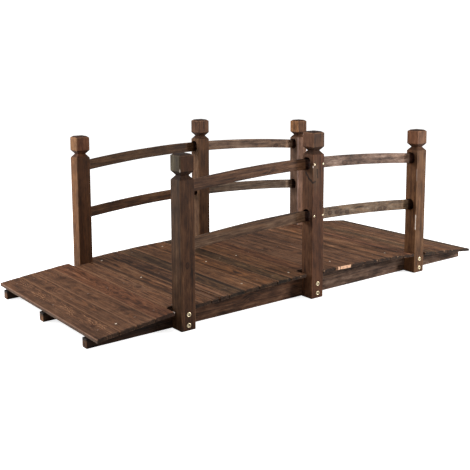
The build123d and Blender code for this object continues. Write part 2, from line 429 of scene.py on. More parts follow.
    # Ends and faces that never took the stain.
    for axis, at, reach, strength, *tint in raw:
        c = {"u": gu, "v": gv, "w": gw}[axis]
        d = g.m("ABSOLUTE", g.m("SUBTRACT", c, at))
        d = g.m("MULTIPLY_ADD", g.noise(P, (3, 3, 3), 2), reach * 1.2, d)
        mask = g.m("MULTIPLY", g.step(d, reach * 1.2, reach * 1.7, 1.0, 0.0), strength)
        end_n = g.noise(P, (2.2, 2.2, 9), 2, 0.6)
        own = tint[0] if tint else RAW
        if len(tint) > 1:
            mask = g.m("MULTIPLY", mask, g.step(gu, tint[1][0] - 1, tint[1][0] + 1))
            marks = g.m("MULTIPLY", g.step(g.noise(P, (3.4, 3, 40), 1), 0.60, 0.66), 0.85)
        rawcol = g.ramp(end_n, [(0.3, times(own, 0.42)), (0.46, times(own, 0.9)), (0.62, times(own, (1.25, 1.2, 1.1)))])
        if len(tint) > 1:
            rawcol = g.mix(marks, rawcol, times(base, 0.5))
        col = g.mix(mask, col, rawcol)

    # Painted light: the rails' front faces are made lighter within about 50 mm of a post, to cancel that post's cast
    # shadow.
    for at, near, far, factor in painted_light_fill:
        mask = g.step(g.m("ABSOLUTE", g.m("SUBTRACT", gv, at)), near, far, 1.0, 0.0)
        mask = g.m("MULTIPLY", mask, g.step(gw, -4.2, -3.4, 1.0, 0.0))
        m = g.t.nodes.new("ShaderNodeMix")
        m.data_type, m.blend_type = "RGBA", "MULTIPLY"
        g.put(m.inputs["Factor"], mask)
        g.put(m.inputs["A"], col)
        m.inputs["B"].default_value = (factor, factor, factor, 1)
        col = m.outputs["Result"]

    # Painted shadow: a darker band on the stringer just below the deck boards, following their curve.
    if overhang_shadow:
        rise, drop, half_run, near, far, dim = overhang_shadow
        k = g.m("DIVIDE", gv, half_run)
        under = g.m("SUBTRACT", g.m("SUBTRACT", rise, g.m("MULTIPLY", g.m("MULTIPLY", k, k), drop)), gu)
        under = g.m("MULTIPLY_ADD", g.m("SUBTRACT", g.noise(P, (12, 40, 12), 2), 0.5), 5.0, under)
        col = g.mix(g.step(under, near, far, 1.0, 0.0), col, times(base, dim))

    # Painted shade: the post's inner walls in the mortises, below the neck, are made darker.
    if hollow:
        deep = g.m("MAXIMUM", g.m("ABSOLUTE", gu), g.m("ABSOLUTE", gw))
        inside = g.m("MULTIPLY", g.step(deep, hollow[0] - 1.0, hollow[0], 0.85, 0.0),
                     g.step(gv, hollow[1] - 1.0, hollow[1], 1.0, 0.0))
        col = g.mix(inside, col, times(base, (0.75, 0.42, 0.36)))

    # Painted shade: darker below one point along an axis, full colour beyond another (on the stringers, darker towards
    # the left ramp).
    if shade_gradient:
        axis, lo, hi, dim = shade_gradient
        c = {"u": gu, "v": gv, "w": gw}[axis]
        soft = g.m("MULTIPLY_ADD", g.m("SUBTRACT", blot, 0.5), (hi - lo) * 0.3, c)
        shade = g.step(soft, lo, hi, dim, 1.0)
        sh = g.t.nodes.new("ShaderNodeCombineXYZ")
        for s in sh.inputs:
            g.put(s, shade)
        col = g.mix(1.0, col, sh.outputs[0], "MULTIPLY")

    g.put(g.bsdf.inputs["Base Color"], col)
    rr = g.m("MULTIPLY_ADD", g.m("SUBTRACT", med, 0.5), 0.35, rough)
    rr = g.m("MULTIPLY_ADD", rub, 0.22, rr)
    rr = g.m("MULTIPLY_ADD", lines, -0.08, rr)
    g.put(g.bsdf.inputs["Roughness"], rr)
    g.bsdf.inputs["Specular IOR Level"].default_value = 0.13

    h = g.m("MULTIPLY", fine, 0.32)
    h = g.m("MULTIPLY_ADD", med, 0.35, h)
    h = g.m("MULTIPLY_ADD", lines, 0.5, h)
    h = g.m("MULTIPLY_ADD", checks, -0.9, h)
    if knot_h is not None:
        h = g.m("MULTIPLY_ADD", knot_h, 0.4, h)
    b = g.t.nodes.new("ShaderNodeBump")
    b.inputs["Strength"].default_value = 0.75
    b.inputs["Distance"].default_value = 0.0006
    g.put(b.inputs["Height"], h)
    g.put(g.bsdf.inputs["Normal"], b.outputs[0])
    return g.mat


def metal(name, colour, dull, seed, shiny=0.85):
    g = Graph(name)
    tc = g.t.nodes.new("ShaderNodeTexCoord")
    P = g.v("MULTIPLY", tc.outputs["Object"], (1000, 1000, 1000))
    P = g.v("ADD", P, (seed * 13.7, seed * 29.1, 0))
    n = g.noise(P, 1.6, 3, 0.6)
    spot = g.step(g.noise(P, 0.9, 2), 0.56, 0.7)
    col = g.ramp(n, [(0.3, times(colour, 0.62)), (0.5, colour), (0.7, times(colour, (1.2, 1.2, 1.25)))])
    col = g.mix(g.m("MULTIPLY", spot, 0.5), col, times(colour, dull))
    g.put(g.bsdf.inputs["Base Color"], col)
    g.bsdf.inputs["Metallic"].default_value = shiny
    g.put(g.bsdf.inputs["Roughness"], g.m("MULTIPLY_ADD", n, 0.4, 0.22))
    b = g.t.nodes.new("ShaderNodeBump")
    b.inputs["Strength"].default_value = 0.4
    b.inputs["Distance"].default_value = 0.0002
    g.put(b.inputs["Height"], n)
    g.put(g.bsdf.inputs["Normal"], b.outputs[0])
    return g.mat


def dress(o, mat, slot, *nodes):
    o.data.materials.clear()
    o.data.materials.append(mat)
    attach(o, "root")
    if nodes:
        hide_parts(*nodes)


# ---------------------------------------------------------------- deck boards
SHORT = {4, 12, 20}
CUTS = {5: (-463.0, -451.0), 13: (14.0, 26.5), 19: (451.0, 457.0)}
INNER = OUTER - POST - 1.0
BOARDS = {
    0: dict(tone="mid", gain=0.95, ring=5.5, line=0.35, streak=0.36, figure=(7.0, -6, 30, 0.9),
            knots=[(-14, 180, 4), (4, -230, 5)]),
    1: dict(tone="mid", gain=1.01, knots=[(-5, 145, 8), (26, -142, 4)], streak=0.42),
    2: dict(tone="mid", gain=1.05, knots=[(14, 195, 8), (4, -193, 5)], streak=0.42),
    3: dict(tone="red", streak=0.5, gain=1.05, knots=[(-2, -58, 6)], patches=[(33, -319, 4, 4.5, "pale", 0.8)]),
    4: dict(tone="mid", gain=1.09, knots=[(12, -65, 7)], patches=[(14, -65, 5, 22, "grey", 0.7)], streak=0.55),
    5: dict(tone="tan", gain=0.74, line=0.6, streak=0.75, grainbands=[(14, 9, 1.5, -330, -40), (-14, 8, 0.5, -330, 200)]),
    6: dict(tone="mid", gain=0.66, streak=0.95, line=0.6, grainbands=[(18, 9, 1.7, -330, -90), (-16, 8, 0.45, -200, 250)]),
    7: dict(tone="olive", gain=0.81, streak=0.7, grainbands=[(20, 7, 0.45, -330, 100)]),
    8: dict(tone="mid", gain=0.85, tint=(1.03, 1.0, 0.88), knots=[(-4, -110, 5)], patches=[(30, -319, 4, 3.6, "raw", 0.8)],
            grainbands=[(6, 8, 1.45, -330, -120)]),
    9: dict(tone="tan", gain=0.84, tint=(1.06, 1.0, 0.85), streak=0.8, line=0.55, grainbands=[(-18, 7, 0.5, -330, 330)]),
    10: dict(tone="olive", gain=0.57, tint=(1.06, 1.0, 0.85), streak=0.8, blotch=0.8, grainbands=[(12, 7, 1.7, -330, 60)]),
    11: dict(tone="tan", gain=0.77, tint=(1.06, 1.0, 0.85), line=0.5, patches=[(7, -319, 2, 3.2, "raw", 0.6)],
             grainbands=[(-12, 7, 0.5, -330, 330)]),
    12: dict(tone="red", gain=0.79, tint=(1.05, 1.0, 0.86), knots=[(6, 60, 6)], streak=0.8),
    13: dict(tone="mid", gain=0.87, streak=0.75, patches=[(-17, -319, 2, 3.4, "raw", 0.7)],
             grainbands=[(14, 7, 1.4, -200, 330)]),
    14: dict(tone="mid", gain=0.86, line=0.55, knots=[(-12, -180, 6)], grainbands=[(-20, 6, 1.5, -330, 330)]),
    15: dict(tone="dark", gain=1.08, streak=0.85, grainbands=[(-22, 6, 1.6, -250, 330)]),
    16: dict(tone="mid", gain=0.95, patches=[(26, -319, 2, 3.2, "raw", 0.6)], streak=0.8,
             grainbands=[(16, 8, 0.5, -330, 330)]),
    17: dict(tone="tan", gain=0.86, streak=0.8, grainbands=[(-20, 7, 1.7, -100, 330), (10, 7, 0.5, -330, 330)]),
    18: dict(tone="tan", gain=0.91, streak=0.9, line=0.6, patches=[(4, -319, 3, 3.4, "raw", 0.6)],
             grainbands=[(-22, 6, 1.8, -330, 330)]),
    19: dict(tone="red", gain=0.74, streak=0.9, grainbands=[(8, 7, 1.7, -330, 200)]),
    20: dict(tone="tan", gain=0.90, streak=0.9, grainbands=[(-14, 6, 0.45, -330, 330)]),
    21: dict(tone="olive", gain=0.94, streak=0.8, knots=[(4, 30, 7)], grainbands=[(18, 7, 1.7, -330, 330)]),
    22: dict(tone="tan", gain=0.92, streak=0.8, line=0.6, patches=[(14, -318, 3, 4, "raw", 0.7)],
             grainbands=[(-16, 7, 0.5, -330, 330)]),
    23: dict(tone="mid", gain=0.74, streak=0.9, patches=[(-10, -318, 3, 3.4, "raw", 0.6)],
             grainbands=[(12, 7, 1.8, -330, 330)]),
    24: dict(tone="olive", gain=0.92, streak=0.7, grainbands=[(-18, 6, 1.6, -330, 330), (6, 6, 0.5, -330, 330)]),
}


def build_board(i):
    (xa, za), (xb, zb) = UNDER[i], UNDER[i + 1]
    run = math.hypot(xb - xa, zb - za)
    ux, uz = (xb - xa) / run, (zb - za) / run
    ga = GAPS[i - 1] / 2 if i else 0.0
    gb = GAPS[i] / 2 if i < 24 else 0.0
    wide = run - ga - gb
    ox, oz = xa + ux * ga, za + uz * ga
    reach = INNER if i in SHORT else OUTER
    cols = steps(0.0, wide, 8.0)
    if i in CUTS:
        a, b = ((c - ox) / ux for c in CUTS[i])
        cut_u = b if a <= 1.0 else a
        cols = merged([c for c in cols if abs(c - cut_u) > 2.5], [cut_u])
    split_u = None
    if i == 6:
        split_u = (-371.0 - ox) / ux
        cols = [c for c in cols if abs(c - split_u) > 5.5]
        cols = sorted(cols + [split_u - 1.0, split_u + 1.0])
    rows = [v for v in steps(-reach, reach, 9.5) if abs(abs(v) - INNER) > 3.0 or abs(v) == reach]
    if i in CUTS:
        rows = sorted(rows + [-INNER, INNER])
    ends = [1.1 + 1.0 * wave(i * 5.3, 1), 1.1 + 1.0 * wave(i * 5.3, 2)]
    nu, nv = len(cols), len(rows)

    def place(a, b, k):
        u, v = cols[a], rows[b]
        jag = 0.2 + 0.25 * wave(v / 42.0, i * 3.1, a) + 0.18 * wave(v / 9.0, i * 7.7, a)
        if a == 0 and i > 0:
            u += jag * (1.0 if k else 0.5)
        elif a == nu - 1 and i < 24:
            u -= jag * (1.0 if k else 0.5)
        if split_u is not None and abs(u - split_u) < 1.5:
            side = -1 if u < split_u else 1
            t = min(1.0, max(0.0, (v + 320.0) / 250.0))
            mid = -369.0 - 6.0 * t + 0.8 * wave(v / 30.0, 4.0)
            open_ = 3.2 * (1 - t) ** 1.3 + 0.45
            u = (mid + side * open_ - ox) / ux
        if b in (0, nv - 1):
            rough = 0.45 * wave(u / 6.0, i * 2.2, b)
            if i == 14 and b == 0:
                rough = 0.9 * wave(u / 4.0, 9.0) + 0.6
            inward = max(0.1, ends[0 if b == 0 else 1] + rough)
            v += inward if b == 0 else -inward
        w = THICK * k
        if k:
            w += 0.22 * wave(u / 18.0, v / 70.0, i) - 0.25
            w += 0.35 * (abs(2 * cols[a] / wide - 1) ** 2 - 0.5) * (1 if i % 3 else -1)
        x = ox + ux * u - uz * w
        z = oz + uz * u + ux * w
        if i == 0 and a == 0:
            x = LEFT + 0.1
        if i == 24 and a == nu - 1:
            x = RIGHT_END - 0.1
        return x, v, z

    def present(a, b):
        um, vm = (cols[a] + cols[a + 1]) / 2, (rows[b] + rows[b + 1]) / 2
        if i in CUTS and abs(vm) > INNER:
            lo, hi = CUTS[i]
            if lo - 1.0 < ox + ux * um < hi:
                return False
        if split_u is not None and abs(um - split_u) < 0.5 and vm < -70.0:
            return False
        return True

    bm = bmesh.new()
    lattice(bm, nu, nv, place, present)
    o = new_object(f"plank_{i + 1:02d}", bm)
    finish_mesh(o, bevel=0.65, segments=2, sharp=45)
    cx, cz = ox + ux * wide / 2 - uz * THICK / 2, oz + uz * wide / 2 + ux * THICK / 2
    set_grain(o, (cx, 0, cz), (ux, 0, uz), (0, 1, 0), (-uz, 0, ux))
    spec = dict(BOARDS[i])
    raw, edges_worn_and_highlit = [], []
    sides = [("v", -reach, (3.2, 4.4), (0.26, 0.28, 0.32), None, None),
             ("v", reach, (3.2, 4.4), (0.5, 0.5, 0.5), None, None)]
    if i == 14:
        raw = [("v", -OUTER, 2.6, 1.0, (0.62, 0.38, 0.25), (-24, 40))]
        sides = sides[1:]
    if i == 0:
        raw.append(("u", -wide / 2, 1.0, 0.55, (0.15, 0.105, 0.08)))
        # Painted highlights: a pale top arris along the left end, and a pale edge at the front-left corner.
        edges_worn_and_highlit.append(("u", -wide / 2, "w", THICK / 2, 2.8, (0.55, 0.43, 0.36), 0.9, -330, 330))
        edges_worn_and_highlit.append(("u", -wide / 2, "v", -OUTER, 2.6, (0.36, 0.28, 0.23), 0.7, -330, 330))
    if i == 24:
        raw.append(("u", wide / 2, 1.3, 0.3))
    sign = -1 if i % 2 else 1
    opts = dict(pith=((i * 17 % 23) - 11.0, 22.0 + (i * 31 % 26)),
                tilt=(sign * 0.012, sign * (0.03 + 0.01 * (i % 4))),
                ring=3.2 + (i * 7 % 5) * 0.4)
    # Lighter or darker grain bands that follow the board, and the dirt at its seams.
    for at, half_width, factor, lo, hi in spec.pop("grainbands", []):
        sides.append(("u", at, (half_width * 0.4, half_width), times((1, 1, 1), factor), lo, hi))
    sides.append(("u", wide / 2, (0.6, 2.4), (0.42, 0.4, 0.4), None, None))
    edges_worn_and_highlit.append(("u", -wide / 2 + 1, "w", THICK / 2, 3.4, times(STAIN, (2.1, 2.25, 2.3)), 0.85 if i < 5 else 0.6, -330, 330))
    opts.update(spec, sides=sides, arris=edges_worn_and_highlit, wander=8)
    mat = wood(f"deck_wood_{i + 1:02d}", i + 1, half=(wide / 2, reach, THICK / 2),
               wear=0.55, raw=raw, rough=0.64, **opts)
    dress(o, mat, "deck_wood", f"deck_board_{i + 1:02d}")
    return o, (ox, oz, ux, uz, wide)


facets = {}
for i in range(25):
    _, facets[i] = build_board(i)

# ---------------------------------------------------------------- stringers
STRINGERS = {"front": (-274.0, -250.0), "middle": (-12.0, 12.0), "rear": (250.0, 274.0)}


def under_z(x):
    for (xa, za), (xb, zb) in zip(UNDER, UNDER[1:]):
        if x <= xb:
            return za + (zb - za) * (x - xa) / (xb - xa)
    return UNDER[-1][1]


for n, (where, (y0, y1)) in enumerate(STRINGERS.items()):
    xs = merged(SEAMS, steps(-BEAM_END, BEAM_END, 20))
    rows = [0.0, 0.33, 0.66, 1.0]

    def place(a, b, k, y0=y0, y1=y1, n=n, xs=xs, rows=rows):
        x = xs[a]
        top = under_z(x) - 0.15
        if a in (0, len(xs) - 1):
            x -= math.copysign(0.3 + 0.3 * abs(wave(b, n)), x)
        z = rows[b] * top
        if b == 0:
            z += max(0.0, 0.35 * wave(x / 60.0, n * 4.0))
        y = (y0 + 0.2 + 0.2 * wave(x / 80.0, b, n)) if k else (y1 - 0.2)
        return x, y, z

    bm = bmesh.new()
    lattice(bm, len(xs), len(rows), place)
    o = new_object(f"beam_{where}", bm)
    finish_mesh(o, bevel=1.0, segments=2, sharp=45)
    set_grain(o, (0, (y0 + y1) / 2, 36), (0, 0, 1), (1, 0, 0), (0, 1, 0))
    mat = wood(f"stringer_wood_{where}", 40 + n, tone="dark", gain=1.02, ring=5.0,
               pith=(6, 30), tilt=(0.004, 0.006), line=0.35, streak=0.48, blotch=0.9,
               half=(60, BEAM_END, 12), wear=0.4, knots=[(-8, -220, 6), (10, 310, 5)],
               raw=[("v", -BEAM_END, 1.2, 0.05), ("v", BEAM_END, 1.2, 0.1)],
               sides=[("v", 440, (390, 480), (1.25, 1.6, 2.05), None, None),
                      ("v", -BEAM_END, (1, 2), (5.6, 5.8, 5.4), None, None)],
               # Painted shadow under the boards' overhang, and painted shade towards the left ramp.
               overhang_shadow=(36.5, 44.0, 753.0, 3.0, 17.0, (0.30, 0.29, 0.28)), shade_gradient=("v", -560, -380, 0.36), rough=0.55)
    dress(o, mat, "stringer_wood", f"{where}_stringer")

# ---------------------------------------------------------------- rails
RAILS = {
    ("front", "left", "upper"): dict(tone="mid", gain=0.74, streak=0.6, knots=[(2, -150, 4)]),
    ("front", "left", "lower"): dict(tone="mid", gain=0.8, tint=(1.0, 1.16, 1.27), streak=0.55),
    ("front", "right", "upper"): dict(tone="grey", gain=1.1, tint=(1.42, 1.78, 2.36), streak=0.34, blotch=1.0,
                                      knots=[(-2, 146, 8), (-6, 302, 5), (4, 215, 4)]),
    ("front", "right", "lower"): dict(tone="tan", gain=0.95, tint=(0.98, 1.45, 2.0), streak=0.36, blotch=1.0,
                                      knots=[(2, 84, 6), (1, 114, 6), (0, 159, 6), (-3, 312, 7), (-2, 337, 5)]),
    ("rear", "left", "upper"): dict(tone="mid", gain=0.58, tint=(1, 1.07, 0.98), streak=0.55),
    ("rear", "left", "lower"): dict(tone="mid", gain=0.9, tint=(1, 1, 0.9), streak=0.55),
    ("rear", "right", "upper"): dict(tone="grey", gain=1.0, tint=(1.3, 1.55, 1.8), streak=0.5, knots=[(-4, 369, 7)]),
    ("rear", "right", "lower"): dict(tone="grey", gain=0.9, tint=(1.0, 1.31, 1.58), streak=0.55),
}
for n, ((side, bay, level), spec) in enumerate(RAILS.items()):
    x0, x1 = (-478.0, 0.0) if bay == "left" else (0.0, 478.0)
    yc = SIDE_Y[side] + RAIL_SHIFT
    xs = steps(x0, x1, 12.0)
    rows = [-0.5, -0.25, 0.0, 0.25, 0.5]

    def place(a, b, k, side=side, level=level, yc=yc, xs=xs, n=n):
        x = xs[a]
        z = rail_line(side, level, x) + rows[b] * RAIL_HIGH
        if b in (0, 4):
            z += math.copysign(1, -rows[b]) * max(0.0, 0.1 + 0.35 * wave(x / 55.0, n * 3.7, b))
        if a in (0, len(xs) - 1):
            x -= math.copysign(0.15, rows[b] * 0 + (1 if a else -1))
        y = yc + (-RAIL_THICK / 2 if k else RAIL_THICK / 2)
        y += (0.15 + 0.12 * wave(x / 70.0, b, n)) * (1 if k else -1)
        return x, y, z

    bm = bmesh.new()
    lattice(bm, len(xs), 5, place)
    o = new_object(f"rail_{side}_{bay}_{level}", bm)
    finish_mesh(o, bevel=0.8, segments=2, sharp=45)
    za, zb = rail_line(side, level, x0), rail_line(side, level, x1)
    run = math.hypot(x1 - x0, zb - za)
    vx, vz = (x1 - x0) / run, (zb - za) / run
    if bay == "left":
        at, far = (x1, yc, zb), -run
    else:
        at, far = (x0, yc, za), run
    set_grain(o, at, (-vz, 0, vx), (vx, 0, vz), (0, 1, 0))
    opts = dict(ring=4.6, pith=(5 - n, 26 + 3 * n), tilt=(0.01, 0.03 - 0.008 * n), line=0.4,
                half=(60, 900, 5), wear=0.35, rough=0.55,
                # Painted light on the rail next to the post on the key-light side, against the post's cast shadow.
                painted_light_fill=[(0 if bay == "left" else far * 475 / 478, 50, 60, 1.75)],
                # Painted shade: the rail ends that sit inside the mortises are darker.
                sides=[("v", 0, (20.5, 23), (0.30, 0.20, 0.18), None, None),
                       ("v", far * 475 / 478, (20.5, 23), (0.30, 0.20, 0.18), None, None)])
    opts.update(spec)
    mat = wood(f"rail_wood_{side}_{bay}_{level}", 60 + n, **opts)
    dress(o, mat, "rail_wood", f"{side}_{bay}_{level}_rail")


# ---------------------------------------------------------------- posts
def ring_points(xc, yc, z, h, r, seg=3, nick=None):
    pts = []
    for c, (sx, sy) in enumerate(((1, 1), (-1, 1), (-1, -1), (1, -1))):
        rr = r
        if nick and nick[0] == c:
            rr = r + nick[1]
        rr = min(rr, h - 0.5)
        for s in range(seg + 1):
            a = math.radians(90 * c + 90 * s / seg)
            pts.append((xc + sx * (h - rr) + rr * math.cos(a),
                        yc + sy * (h - rr) + rr * math.sin(a), z))
    return pts


def tower(bm, rings):
    """A closed solid through rings of points."""
    made = [[bm.verts.new(Vector(p) * MM) for p in one] for one in rings]
    n = len(made[0])
    for a, b in zip(made, made[1:]):
        for i in range(n):
            bm.faces.new((a[i], a[(i + 1) % n], b[(i + 1) % n], b[i]))
    bm.faces.new(list(reversed(made[0])))
    bm.faces.new(made[-1])


def cutter(name, x0, x1, yc, zc):
    wide, high, r = 32.0, 38.0, 13.0
    ring = []
    for c, (sy, sz) in enumerate(((1, 1), (-1, 1), (-1, -1), (1, -1))):
        for s in range(9):
            a = math.radians(90 * c + 11.25 * s)
            ring.append((yc + sy * (wide / 2 - r) + r * math.cos(a),
                         zc + sz * (high / 2 - r) + r * math.sin(a)))
    bm = bmesh.new()
    tower(bm, [[(x, y, z) for y, z in ring] for x in (x0, x1)])
    return new_object(name, bm)


# left, front, left_knob and front_knob are painted light and shade: brightness factors for the -X and -Y faces, below
# and above the neck, set to how each face is lit.
POSTS = {
    ("front", "left"): dict(tone="mid", gain=0.62, streak=0.44, blotch=0.6, knots=[(-2, -60, 6)],
                            patches=[(-23, 196.5, -23, 2.6, "pale", 1.0)],
                            left=(0.96, 1.0, 0.92), left_knob=(1.12, 1.86, 2.15),
                            front=(0.85, 0.76, 0.63), front_knob=(0.68, 0.56, 0.40)),
    ("front", "middle"): dict(tone="mid", gain=0.72, streak=0.29,
                              # The dark patches at u -23, w -17 are painted shade beside the mortise mouths.
                              patches=[(-10, 119, -23, 22, "ash", 1.0), (-14, 145, -23, 14, "ash", 0.5),
                                       (20, 172, -23, 12, "orange", 0.8), (-23, 153, -17, 9, "dark", 0.9),
                                       (-23, 2, -17, 9, "dark", 0.9)],
                              cracks=[((-23, 130, 7), (-23, 115, -5), 5.0), ((-23, 115, -5), (-22, 104, -22), 5.0),
                                      ((-22, 104, -22), (-12, 106, -23), 3.6), ((-6, 142, -23), (-3, 118, -23), 3.2)],
                              arris=[("u", -23, "w", -23, 3.4, PALE, 1.0, 146, 156)],
                              left=(1.38, 1.32, 1.26), left_knob=(1.74, 1.70, 1.76),
                              front=(0.95, 0.81, 0.71), front_knob=(0.94, 0.95, 0.92)),
    ("front", "right"): dict(tone="tan", gain=0.85, streak=0.31, line=0.35,
                             # The deep and dark patches at u -23, w -16 are painted shade beside the mortise mouths.
                             patches=[(-23, 150, -16, 14, "deep", 0.9), (-23, -12, -16, 10, "dark", 0.8)],
                             arris=[("u", -23, "w", -23, 2.5, PALE, 0.95, -96, -40),
                                    ("u", -23, "w", -23, 2.2, (0.3, 0.22, 0.18), 0.6, 70, 116)],
                             left=(1.1, 1.07, 0.94), left_knob=(1.56, 1.46, 1.52),
                             front=(0.91, 0.96, 0.92), front_knob=(1.21, 1.29, 1.47)),
    ("rear", "left"): dict(tone="orange", gain=0.85, streak=0.31, line=0.35,
                           left=(1.40, 1.61, 1.52), left_knob=(1.98, 2.55, 2.68),
                           front=(0.48, 0.47, 0.4), front_knob=(0.86, 0.84, 0.92)),
    ("rear", "middle"): dict(tone="mid", gain=0.9, streak=0.37, left=(1.34, 1.5, 1.48), front=(0.77, 0.72, 0.59),
                             # The dark patch at u -23, w -17 is painted shade beside the mortise mouth.
                             patches=[(-23, 153, -17, 9, "dark", 0.9)]),
    ("rear", "right"): dict(tone="tan", gain=0.8, streak=0.34, left=(1.25, 1.56, 2.1),
                            left_knob=(2.6, 2.75, 2.5), front=(1.75, 2.1, 2.9)),
}
for n, ((side, bay), spec) in enumerate(POSTS.items()):
    xc, yc, H = POST_X[bay], SIDE_Y[side], HEIGHT[side, bay]
    prof = [(0.0, 22.5, 0.8), (0.6, 23.0, 0.9)]
    prof += [(z, 23.0, 0.9) for z in steps(12.0, H - 80.0, 11.0)]
    prof += [(H - 70.7, 23.0, 1.0), (H - 70.1, 22.8, 1.1), (H - 69.5, 22.35, 1.1),
             (H - 64.0, 17.9, 1.1), (H - 58.9, 13.7, 1.1), (H - 58.1, 13.1, 1.1),
             (H - 57.3, 13.6, 1.1), (H - 52.0, 18.1, 1.2), (H - 47.0, 22.35, 1.3),
             (H - 46.2, 22.85, 1.3), (H - 45.5, 23.0, 1.3), (H - 36, 23.0, 1.3), (H - 26, 23.0, 1.3),
             (H - 16, 23.0, 1.4), (H - 5.7, 23.0, 1.5), (H - 4.9, 22.7, 1.6), (H - 4.2, 21.9, 1.8),
             (H - 0.7, 16.9, 1.8), (H - 0.2, 15.9, 1.7), (H, 14.9, 1.6), (H, 9.0, 1.2), (H, 4.0, 0.9)]
    rings = []
    for m, (z, h, r) in enumerate(prof):
        hh = h + (0.1 * wave(z / 45.0, n * 6.0) - 0.08 if 1 < m < len(prof) - 4 else 0)
        nick = None
        if (side, bay) == ("front", "right") and 140 < z < 205:
            nick = (2, 1.6 * math.sin(math.pi * (z - 140) / 65))
        rr = r + 0.25 * wave(z / 25.0, n, 3.0)
        rings.append(ring_points(xc, yc, z, hh, max(0.6, rr), nick=nick))
    bm = bmesh.new()
    tower(bm, rings)
    o = new_object(f"newel_{side}_{bay}", bm)
    cutters = []
    for level in ("upper", "lower"):
        s = POST / 2
        if bay == "middle":
            span = (xc - s - 6, xc + s + 6, rail_line(side, level, xc))
        elif bay == "left":
            span = (xc + s - 30, xc + s + 8, rail_line(side, level, xc + s))
        else:
            span = (xc - s - 8, xc - s + 30, rail_line(side, level, xc - s))
        cutters.append(cutter(f"cut_{n}_{level}", span[0], span[1], yc + 4.5, span[2] + SLOT_LIFT[bay, level]))
    for c in cutters:
        m = o.modifiers.new("mortise", "BOOLEAN")
        m.operation, m.solver, m.object = "DIFFERENCE", "EXACT", c
    dg = bpy.context.evaluated_depsgraph_get()
    cut = bpy.data.meshes.new_from_object(o.evaluated_get(dg))
    o.modifiers.clear()
    old, o.data = o.data, cut
    bpy.data.meshes.remove(old)
    for c in cutters:
        me = c.data
        bpy.data.objects.remove(c)
        bpy.data.meshes.remove(me)
    finish_mesh(o, sharp=32)
    set_grain(o, (xc, yc, H / 2), (1, 0, 0), (0, 0, 1), (0, 1, 0))
    top = H / 2
    opts = dict(ring=4.2, pith=(30 - 9 * n, 38), tilt=(0.015, -0.01), line=0.4, half=(23, 900, 23),
                wear=0.5, bands=(top - 4.8,), rough=0.62,
                raw=[])
    spec = dict(spec)
    # Darker top end grain. The neck's V groove is made darker: this is painted shade in the groove, and also its cut
    # end grain taking more stain.
    sides = [("v", top, (2.0, 4.6), (0.36, 0.35, 0.36), None, None), ("v", top - 62, (5.0, 7.6), (0.62, 0.58, 0.55), None, None),
             ("v", top - 51.5, (4.6, 6.4), (0.40, 0.36, 0.34), None, None)]
    # Painted light and shade: each post face's brightness factor from the table above.
    for key, axis, lo, hi in (("left", "u", -400, top - 57), ("left_knob", "u", top - 57, 400),
                              ("front", "w", -400, top - 57), ("front_knob", "w", top - 57, 400)):
        if key in spec:
            sides.append((axis, -23, 4, spec.pop(key), lo, hi))
    opts.update(spec, sides=sides, hollow=(21.6, top - 74))
    mat = wood(f"post_wood_{side}_{bay}", 80 + n, **opts)
    dress(o, mat, "post_wood", f"{side}_{bay}_post")


# ---------------------------------------------------------------- fasteners
def lathe(bm, at, axis, side_dir, profile, sides=24, hexes=()):
    """Rings (radius, height) about axis; ring numbers in hexes are six-sided. All in mm."""
    axis, e1 = Vector(axis).normalized(), Vector(side_dir).normalized()
    e2 = axis.cross(e1)
    rows = []
    for k, (r, h) in enumerate(profile):
        row = []
        for s in range(sides):
            a = 2 * math.pi * s / sides
            q = r
            if k in hexes:
                q = r * math.cos(math.pi / 6) / math.cos((a % (math.pi / 3)) - math.pi / 6)
            row.append(bm.verts.new((Vector(at) + axis * h + e1 * q * math.cos(a) + e2 * q * math.sin(a)) * MM))
        rows.append(row)
    for a, b in zip(rows, rows[1:]):
        for i in range(sides):
            bm.faces.new((a[i], a[(i + 1) % sides], b[(i + 1) % sides], b[i]))
    bm.faces.new(list(reversed(rows[0])))
    bm.faces.new(rows[-1])


# Bolt heads with a hex socket, two on the foot of each post, and a dark disc in each socket as painted shade.
bm, socket_shade_discs = bmesh.new(), bmesh.new()
for side, yc in SIDE_Y.items():
    out = -1 if side == "front" else 1
    for bay, xc in POST_X.items():
        for k, z in enumerate((15.0, 45.0)):
            dx = {"left": 0.5, "middle": 1.0, "right": 2.5}[bay] + 0.6 * wave(xc, z, out)
            lathe(bm, (xc + dx, out * 320.0, z + 0.8 * wave(xc, z)), (0, out, 0), (1, 0, 0),
                  [(6.3, -1.0), (6.6, -0.1), (6.6, 0.6), (6.3, 1.2), (5.8, 1.7), (5.0, 1.95),
                   (4.6, 1.9), (4.4, 1.5), (4.3, 0.1)], sides=24, hexes=(7, 8))
            lathe(socket_shade_discs, (xc + dx, out * 320.0, z + 0.8 * wave(xc, z)), (0, out, 0), (1, 0, 0),
                  [(4.2, -0.6), (4.2, 0.18), (2.6, 0.22), (0.9, 0.05)], sides=24, hexes=(0, 1, 2))
bolts = new_object("bolt_heads", bm)
finish_mesh(bolts, sharp=40)
dress(bolts, metal("bolt_brass", (0.90, 0.76, 0.50), 0.7, 1), "fastener_metal")
sockets = new_object("bolt_sockets", socket_shade_discs)
finish_mesh(sockets, sharp=40)
dress(sockets, metal("socket_shadow", (0.022, 0.013, 0.008), 0.5, 5, shiny=0.0), "fastener_metal")


